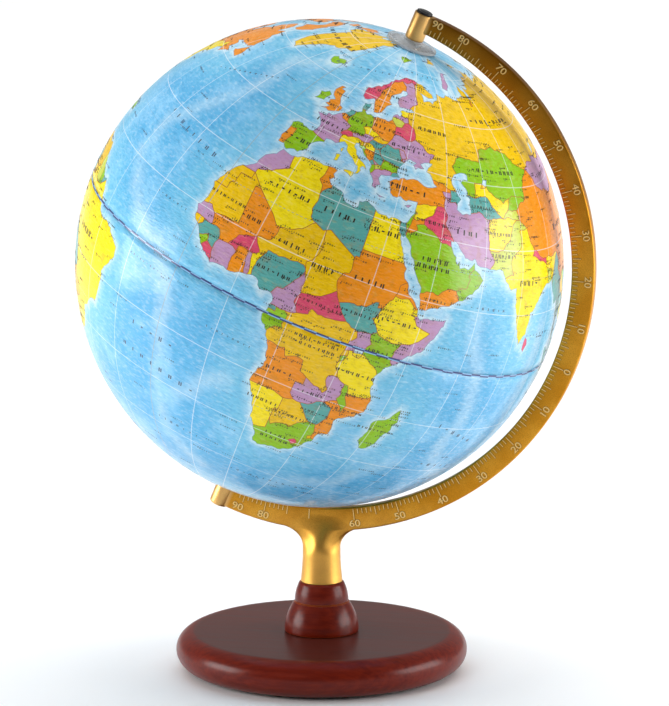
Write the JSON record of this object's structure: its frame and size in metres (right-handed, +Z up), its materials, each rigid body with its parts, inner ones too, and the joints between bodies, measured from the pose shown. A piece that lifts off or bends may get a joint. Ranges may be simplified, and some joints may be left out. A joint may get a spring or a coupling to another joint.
{
  "type": "desktop globe",
  "caption": "Desktop globe: hollow printed ball spinning on a tilted axis in a cast C-shaped meridian arm with a raised scale, on a turned wooden collar and round wooden base.",
  "frame": {"origin": "middle of the felt pad's underside, on the surface that the globe stands on", "axes": "+Z up; the meridian arm lies in the XZ plane and the north end of the polar axis leans towards +X; the scale faces -Y"},
  "size_m": [0.3275, 0.306, 0.4246],
  "materials": {
    "stained_wood": "satin mahogany stain and lacquer",
    "plain_wood": "raw beech",
    "felt": "matt pressed felt",
    "zinc_plated_steel": "bright zinc plate",
    "gold_lacquer": "satin antique gold over a die casting",
    "black_plastic": "moulded",
    "nylon": "natural",
    "clear_plastic": "clear, polished",
    "printed_map": "printed political map under a clear gloss coat",
    "seam_tape": "printed tape",
    "grey_card": "raw card",
    "white_plastic": "moulded"
  },
  "bodies": {
    "stand": {"base_disc": "stained_wood", "felt_pad": "felt", "collar": "stained_wood", "collar_dowel": "plain_wood", "tie_rod": "zinc_plated_steel", "base_washer": "zinc_plated_steel", "lock_washer": "zinc_plated_steel", "base_nut": "zinc_plated_steel", "stem_key_pin": "zinc_plated_steel", "meridian_arm": "gold_lacquer", "north_pivot_pin": "zinc_plated_steel", "pivot_cap": "black_plastic", "dial_washer": "nylon", "south_pivot_pin": "zinc_plated_steel", "south_thrust_washer": "nylon"},
    "globe": {"northern_hemisphere": "printed_map", "southern_hemisphere": "printed_map", "equator_hoop": "grey_card", "equator_tape": "seam_tape", "north_grommet": "white_plastic", "south_grommet": "white_plastic", "north_backing_washer": "grey_card", "south_backing_washer": "grey_card"},
    "time_dial": {"time_dial": "clear_plastic"}
  },
  "joints": [
    {"name": "globe_spin", "type": "hinge", "parent": "stand", "child": "globe", "pos_m": [-0.00134, 0, 0.26077], "axis": [0.3827, 0, 0.9239], "continuous": true},
    {"name": "time_dial_spin", "type": "hinge", "parent": "globe", "child": "time_dial", "pos_m": [0.05756, 0, 0.40295], "axis": [0.3827, 0, 0.9239], "continuous": true}
  ]
}
